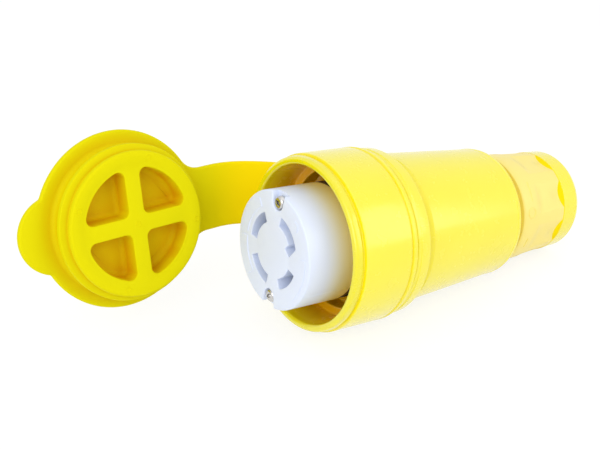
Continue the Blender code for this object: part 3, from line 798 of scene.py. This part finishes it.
def flange_outline():
    """Flange, thumb tab and tongue, anticlockwise from the tongue's end and open there."""
    half = STRAP_WIDTH / 2
    rise = half + TONGUE_FILLET
    run = sqrt((FLANGE_RADIUS + TONGUE_FILLET) ** 2 - rise**2)
    leave = atan2(rise, run)
    tab = FLANGE_RADIUS + TAB_REACH - TAB_RADIUS
    far, near = FLANGE_RADIUS + TAB_FILLET, TAB_RADIUS + TAB_FILLET
    y = -(tab * tab + far * far - near * near) / (2 * tab)
    z = sqrt(far * far - y * y)
    arrive = atan2(z, y)
    upper = [(TONGUE_END, half)]
    upper += arc((run, rise), TONGUE_FILLET, -pi / 2, leave - pi, 12)
    upper += arc((0, 0), FLANGE_RADIUS, leave, arrive, 70)[1:]
    upper += arc((y, z), TAB_FILLET, arrive - pi, atan2(-z, -tab - y), 8)[1:]
    upper += arc((-tab, 0), TAB_RADIUS, atan2(z, y + tab), pi, 40)[1:]
    return upper + [(u, -v) for u, v in reversed(upper[:-1])]


def pie_outline(radius, half_rib, corner):
    """A quarter of a circle between two ribs, with rounded corners."""
    inset = half_rib + corner
    run = sqrt((radius - corner) ** 2 - inset**2)
    slant = atan2(inset, run)
    return [
        *arc((inset, inset), corner, pi, 3 * pi / 2, 8),
        *arc((run, inset), corner, -pi / 2, slant, 8)[1:],
        *arc((0, 0), radius, slant, pi / 2 - slant, 28)[1:],
        *arc((inset, run), corner, pi / 2 - slant, pi, 8)[1:],
    ]


def make_cap():
    """Flange with its tab, and the boss with a sealing rib and four pockets."""
    bm = bmesh.new()
    place = cap_place()
    path = [(inwards, -depth) for inwards, depth in quarter_round(FLANGE_EDGE, 4)]
    path += [(inwards, -FLANGE_THICKNESS - x) for inwards, x in reversed(path)]
    flange = loft(bm, contours(thinned(flange_outline()), path, closed=False), place)
    bm.faces.new(flange[-1])
    boss = filleted(
        [
            (0, BOSS_FOOT_RADIUS, 0),
            (0.1, BOSS_RADIUS + 0.3, 3.2),
            (7.0, BOSS_RADIUS - 0.1, 0.5),
            (7.4, SEAL_RIB_RADIUS, 0.5),
            (10.0, SEAL_RIB_RADIUS, 0.5),
            (10.8, BOSS_RADIUS - 0.8, 0.5),
            (12.0, BOSS_RADIUS - 1.0, 0.5),
            (13.0, BOSS_RADIUS, 0.7),
            (BOSS_FRONT, BOSS_RADIUS - 0.2, 1.1),
            (BOSS_FRONT, POCKET_FACE_RADIUS + 0.3, 0),
            (POCKET_FACE, POCKET_FACE_RADIUS, 0),
        ],
        steps=7,
        closed=False,
    )
    foot, face = lathe(bm, boss, ROUND, place, closed=False)
    fill(bm, [flange[0], foot])
    pie = thinned(pie_outline(POCKET_RADIUS, HALF_RIB, POCKET_CORNER))
    path = rounded_mouth(0.6, 1.2) + [(POCKET_DRAFT, POCKET_DEPTH - POCKET_FLOOR_ROUND)]
    for inwards, up in quarter_round(POCKET_FLOOR_ROUND, 6)[-2::-1]:
        path.append((POCKET_DRAFT + inwards, POCKET_DEPTH - up))
    holes = []
    for clock in (0, 90, 180, 270):
        holes.append(sink(bm, turned(pie, clock), POCKET_FACE, path, heading=-1, matrix=place))
    fill(bm, [face, *holes])
    marks = [(POCKET_FACE, 0, 0)]
    for clock, radius in PIN_MARKS:
        marks.append((BOSS_FRONT, *clock_point(radius, clock)))
    for mark in marks:
        add_pin_mark(bm, place @ Matrix.Translation(mark))
    add_piece("cap_skin", bm, CAP, "cap", "cap_yellow", "flip_cap")


def add_pin_mark(bm, place):
    """The fine raised ring that an ejector pin leaves."""
    radius, foot, top = 1.2, 0.35, 0.12
    section = [(-0.2, radius - foot), (0.14, radius - top), (0.14, radius + top), (-0.2, radius + foot)]
    lathe(bm, section, SMALL_ROUND, place)


def strap_section(half_width, half_thickness, corner=1.1, longest=4):
    """Points (across, up) round the strap's section, none further apart than the longest step."""
    sides = ((1, -1), (1, 1), (-1, 1), (-1, -1))
    shape = filleted([(u * half_width, v * half_thickness, corner) for u, v in sides], 4)
    section = []
    for first, second in zip(shape, shape[1:] + shape[:1]):
        first, second = Vector(first), Vector(second)
        parts = max(1, ceil((second - first).length / longest))
        section += [first.lerp(second, part / parts) for part in range(parts)]
    return section


def strap_path(steps=64):
    """Centres and axes of the strap from the cap's tongue to the ring, on one smooth curve."""
    place = cap_place()
    turn = place.to_3x3()
    roll = roll_about_x(STRAP_ROLL)
    first = place @ Vector((-FLANGE_THICKNESS / 2, TONGUE_END, 0))
    leave = turn @ Vector((0, 1, 0))
    first_across = turn @ Vector((0, 0, 1))
    last = roll @ STRAP_FOOT
    arrive = (roll @ STRAP_FOOT_HEADING).normalized()
    last_across = roll @ FOLD_AXIS
    leave_pull, arrive_pull = 17, 16
    a, b, c, d = first, first + leave * leave_pull, last - arrive * arrive_pull, last
    path = []
    for step in range(steps + 1):
        t = step / steps
        s = 1 - t
        centre = a * s**3 + b * 3 * s * s * t + c * 3 * s * t * t + d * t**3
        along = ((b - a) * 3 * s * s + (c - b) * 6 * s * t + (d - c) * 3 * t * t).normalized()
        across = first_across.lerp(last_across, t * t * (3 - 2 * t))
        across = (across - along * across.dot(along)).normalized()
        path.append((centre, across, across.cross(along)))
    return path


def make_strap():
    """Flat strap with the ring that carries it, in one moulding."""
    bm = bmesh.new()
    section = strap_section(STRAP_WIDTH / 2, STRAP_THICKNESS / 2)
    path = strap_path()
    rows = [[centre + across * u + up * v for u, v in section] for centre, across, up in path]
    loft(bm, rows, capped=True)
    ring = filleted(
        [
            (RING_FRONT, RING_BORE_RADIUS, 0.2),
            (RING_FRONT, RING_RADIUS - 1.0, 0.2),
            (RING_FRONT + 0.7, RING_RADIUS, 0.4),
            (RING_FRONT + 2.1, RING_RADIUS, 0.2),
            (RING_FRONT + 2.4, RING_RADIUS + 0.35, 0.2),
            (RING_REAR, RING_RADIUS - 0.1, 0.6),
            (RING_REAR, RING_BORE_RADIUS, 0.2),
        ]
    )
    before = set(bm.faces)
    lathe(bm, ring)
    for face in set(bm.faces) - before:
        face.material_index = 1
    add_lug(bm)
    blend = (path[FOLD_STEP][0], path[0][0])
    strap = add_piece("strap_skin", bm, CAP, "strap", "cap_yellow", "cap_strap", blend=blend)
    strap.data.materials.append(JACKET)


def add_lug(bm):
    """The block on the ring that the strap runs into."""
    half = STRAP_WIDTH / 2
    lean = FOLD_AXIS.y / FOLD_AXIS.z * half
    spread = 0.44
    corners = [(y, z, 0) for y, z in arc((0, 0), LUG_INNER, -spread, spread, 16)]
    corners += [(LUG_OUTER + lean, half, 1.6), (LUG_OUTER - lean, -half, 1.6)]
    edge = ((0.9, 0), (0.25, 0.25), (0, 0.9))
    path = [(inwards, RING_FRONT + x) for inwards, x in edge]
    path += [(inwards, RING_REAR - x) for inwards, x in reversed(edge)]
    shape = anticlockwise(thinned(filleted(corners)))
    loft(bm, contours(shape, path), roll_about_x(STRAP_ROLL), capped=True)


def soft_least(a, b, width):
    """The lesser of two values, rounded where they cross."""
    h = max(0.0, min(1.0, 0.5 + 0.5 * (b - a) / width))
    return b + (a - b) * h - width * h * (1 - h)


def nut_radius(x, angle):
    """The nut's outside at a station and a clock angle in radians."""
    if x <= FLATS_FRONT:
        share = (x - NUT_FRONT) / (FLATS_FRONT - NUT_FRONT)
        return NUT_RADIUS + (LAND_FRONT_RADIUS - NUT_RADIUS) * share
    share = (x - FLATS_FRONT) / (NUT_REAR - FLATS_FRONT)
    land = LAND_FRONT_RADIUS + (LAND_REAR_RADIUS - LAND_FRONT_RADIUS) * share
    flat = FLAT_FRONT_RADIUS + (FLAT_REAR_RADIUS - FLAT_FRONT_RADIUS) * share
    from_middle = ((angle - FLAT_CLOCK) / tau * FLAT_COUNT + 0.5) % 1 - 0.5
    flat /= cos(from_middle * tau / FLAT_COUNT)
    rise = min(1.0, (x - FLATS_FRONT) / FLAT_RUN_IN)
    rise = rise * rise * (3 - 2 * rise)
    return land + (soft_least(land, flat, 0.05) - land) * rise


def make_nut(steps=384):
    """Gland nut: a round front, eight wrench flats with lands between them, and its neck and bores."""
    bm = bmesh.new()
    angles = [tau * step / steps for step in range(steps)]
    stations = [NUT_FRONT + 0.25, NUT_FRONT + 0.9, 133, 137, FLATS_FRONT]
    stations += [FLATS_FRONT + FLAT_RUN_IN * step / 6 for step in range(1, 7)]
    stations += [145, 149, 153, 156, NUT_REAR - 0.3]
    rows = [[(NUT_FRONT, THREAD_RADIUS)] * steps, [(NUT_FRONT, NUT_RADIUS - 0.5)] * steps]
    for x in stations:
        inset = 0.25 if x < NUT_FRONT + 0.5 else 0
        rows.append([(x, nut_radius(x, angle) - inset) for angle in angles])
    cone = [CONE_SLOPE * (LAND_REAR_RADIUS - nut_radius(NUT_REAR, angle)) for angle in angles]
    for index in (-2, -1):
        rows[index] = [(x - cut, radius) for (x, radius), cut in zip(rows[index], cone)]
    rows.append([(x - 1.3, radius - 0.4) for x, radius in rows[-1]])
    for corner in (
        (NECK_FRONT, 21.5),
        (NECK_FRONT, NECK_RADIUS),
        (NECK_REAR, NECK_RADIUS),
        (NECK_REAR, CORD_RADIUS),
        (THREAD_REAR, CORD_RADIUS),
        (THREAD_REAR, THREAD_RADIUS),
        (NUT_FRONT, THREAD_RADIUS),
    ):
        rows.append([corner] * steps)
    placed = []
    for row in rows:
        placed.append([(x, -r * sin(angle), r * cos(angle)) for (x, r), angle in zip(row, angles)])
    loft(bm, placed)
    ring = arc((0, 0), BEAD_RING_RADIUS, 0, tau, 40)
    for side in (0, 180):
        for start, end, x in BEAD_LINES:
            add_bead(bm, [(x, side + start + (end - start) * step / 24) for step in range(25)])
        clock = side + BEAD_RING_CLOCK
        add_bead(bm, [(BEAD_RING_MIDDLE + u, clock + degrees(v / 27.0)) for u, v in ring])
    add_piece("nut_skin", bm, NUT, "nut", "nut_yellow", "gland_nut")


def add_bead(bm, path):
    """A fine plain raised line along points (x, clock) of the nut."""
    section = [(-0.4, -0.15), (-0.22, 0.26), (0.22, 0.26), (0.4, -0.15)]
    points = []
    for x, clock in path:
        points.append(Vector((x, *clock_point(nut_radius(x, radians(clock)), clock))))
    closed = (points[0] - points[-1]).length < 0.01
    rows = []
    for index, point in enumerate(points):
        before = points[index - 1] if index else points[-2 if closed else 0]
        after = points[index + 1] if index + 1 < len(points) else points[1 if closed else -1]
        out = Vector((0, point.y, point.z)).normalized()
        aside = (after - before).normalized().cross(out)
        rows.append([point + aside * u + out * v for u, v in section])
    loft(bm, rows, capped=not closed)


def make_tail_ring():
    """Round end ring. Its front, which shows in the nut's flats, has the cap's deeper yellow as painted
    shade.
    """
    front = NECK_FRONT + 0.8
    bore = NECK_RADIUS + 0.3
    profile = filleted(
        [
            (front, bore, 0.2),
            (front, TAIL_RADIUS - 1.2, 0.1),
            (TAIL_FRONT - 0.2, TAIL_RADIUS, 0.1),
            (TAIL_REAR - 1.8, TAIL_RADIUS - 0.4, 1.6),
            (TAIL_REAR + 0.4, TAIL_RADIUS - 1.6, 1.0),
            (TAIL_REAR, CORD_RADIUS, 0.9),
            (NECK_REAR + 0.3, CORD_RADIUS, 0.2),
            (NECK_REAR + 0.3, bore, 0.2),
        ],
        steps=8,
    )
    bm = bmesh.new()
    lathe(bm, profile)
    # Painted shade: the front face, which lies in shadow behind the flats, takes the cap's deeper
    # material.
    for face in bm.faces:
        face.material_index = int(face.calc_center_median().x < TAIL_FRONT - 0.3)
    ring = add_piece("tail_ring_skin", bm, JACKET, "nut", "jacket_yellow", "tail_ring")
    ring.data.materials.append(CAP)


def dress_cad_nodes():
    """Materials of the inner pieces that keep their CAD shape."""
    finishes = {
        "contact_carrier": BLACK,
        "terminal_housing": BLACK,
        "gland_gasket": SEAL,
        "gland_grommet": SEAL,
        "gland_body": NUT,
        "slip_washer": WHITE,
    }
    for wire in ("ground", "neutral", "line_x", "line_y"):
        finishes[f"contact_{wire}"] = BRASS
        finishes[f"clamp_{wire}"] = STEEL
        finishes[f"terminal_screw_{wire}"] = STEEL
    for name, material in finishes.items():
        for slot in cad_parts[name].material_slots:
            slot.material = material


# Studio


def seen_directly(tree):
    """1 for rays from the camera, a mirror or glass."""
    rays = ("Is Camera Ray", "Is Glossy Ray", "Is Transmission Ray")
    camera, glossy, transmission = (add_node(tree, "ShaderNodeLightPath", output=ray) for ray in rays)
    return (camera + glossy + transmission).maths("MINIMUM", 1.0)


def make_floor():
    """A pale floor in the plane that the connector lies on, tail down."""
    size = 4000
    drop = 42.9
    up = Vector((-0.123, 0, 0.9924)).normalized()
    across = Vector((0, 1, 0))
    turn = Matrix((across.cross(up), across, up)).transposed().to_4x4()
    middle = Vector((19.56, 0, 0)) - up * drop
    bm = bmesh.new()
    place = Matrix.Translation(middle * MM) @ turn
    bmesh.ops.create_grid(bm, x_segments=1, y_segments=1, size=size * MM, matrix=place)
    mesh = bpy.data.meshes.new("floor")
    bm.to_mesh(mesh)
    bm.free()
    floor = bpy.data.objects.new("floor", mesh)
    bpy.context.scene.collection.objects.link(floor)
    material = bpy.data.materials.new("floor")
    material.use_nodes = True
    tree = material.node_tree
    tree.nodes.remove(tree.nodes["Principled BSDF"])
    # Seen directly the floor glows and keeps the shadow. The light that it throws back is plain.
    shadowed = add_node(tree, "ShaderNodeBsdfDiffuse", {"Color": (0.26, 0.26, 0.26, 1)})
    glow = add_node(tree, "ShaderNodeEmission", {"Strength": 0.80})
    white = add_node(tree, "ShaderNodeAddShader", {0: shadowed, 1: glow})
    plain = add_node(tree, "ShaderNodeBsdfDiffuse", {"Color": (0.88, 0.88, 0.88, 1)})
    surface = add_node(tree, "ShaderNodeMixShader", {0: seen_directly(tree), 1: plain, 2: white})
    connect(tree, tree.nodes["Material Output"].inputs["Surface"], surface)
    mesh.materials.append(material)


def make_world():
    """White where it is seen directly, and a softer light on everything else."""
    soft = 0.72
    world = bpy.data.worlds.new("studio")
    bpy.context.scene.world = world
    world.use_nodes = True
    tree = world.node_tree
    background = tree.nodes["Background"]
    connect(tree, background.inputs["Color"], (1, 1, 1, 1))
    connect(tree, background.inputs["Strength"], seen_directly(tree) * (1 - soft) + soft)


def add_lamp(name, position, target, size, power):
    """A rectangular lamp that looks at a target, both in metres."""
    lamp = bpy.data.lights.new(name, "AREA")
    lamp.shape = "RECTANGLE"
    lamp.size, lamp.size_y = size
    lamp.energy = power
    thing = bpy.data.objects.new(name, lamp)
    thing.location = position
    thing.rotation_mode = "QUATERNION"
    thing.rotation_quaternion = (Vector(target) - Vector(position)).to_track_quat("-Z", "Y")
    bpy.context.scene.collection.objects.link(thing)


def make_camera():
    """The photograph's viewing angle."""
    camera = bpy.data.objects.new("camera", bpy.data.cameras.new("camera"))
    position = Vector((-239.5, -321.7, 175.5)) * MM
    right = Vector((0.8067, -0.5825, 0.1000)).normalized()
    forward = Vector((0.5728, 0.7288, -0.3755)).normalized()
    up = right.cross(forward).normalized()
    turn = Matrix((right, up, -forward)).transposed().to_4x4()
    camera.matrix_world = Matrix.Translation(position) @ turn
    camera.data.sensor_width = 36
    camera.data.lens = 61.1
    camera.data.clip_start = 0.01
    bpy.context.scene.collection.objects.link(camera)
    bpy.context.scene.camera = camera


make_jacket()
make_face()
make_face_screw("face_screw_top", 0, 25)
make_face_screw("face_screw_bottom", 180, -35)
make_cap()
make_strap()
make_nut()
make_tail_ring()
dress_cad_nodes()
make_floor()
make_world()
add_lamp("overhead", (0.05, -0.10, 0.95), (0.05, 0, 0), (1.1, 1.0), 1.1)
add_lamp("front_right", (0.68, -0.80, 0.50), (0.07, 0, 0), (0.6, 0.75), 2.3)
add_lamp("front_left", (-0.78, -0.45, 0.40), (0.0, 0, 0), (0.7, 0.7), 3.6)
make_camera()
bpy.context.scene.view_settings.view_transform = "Standard"
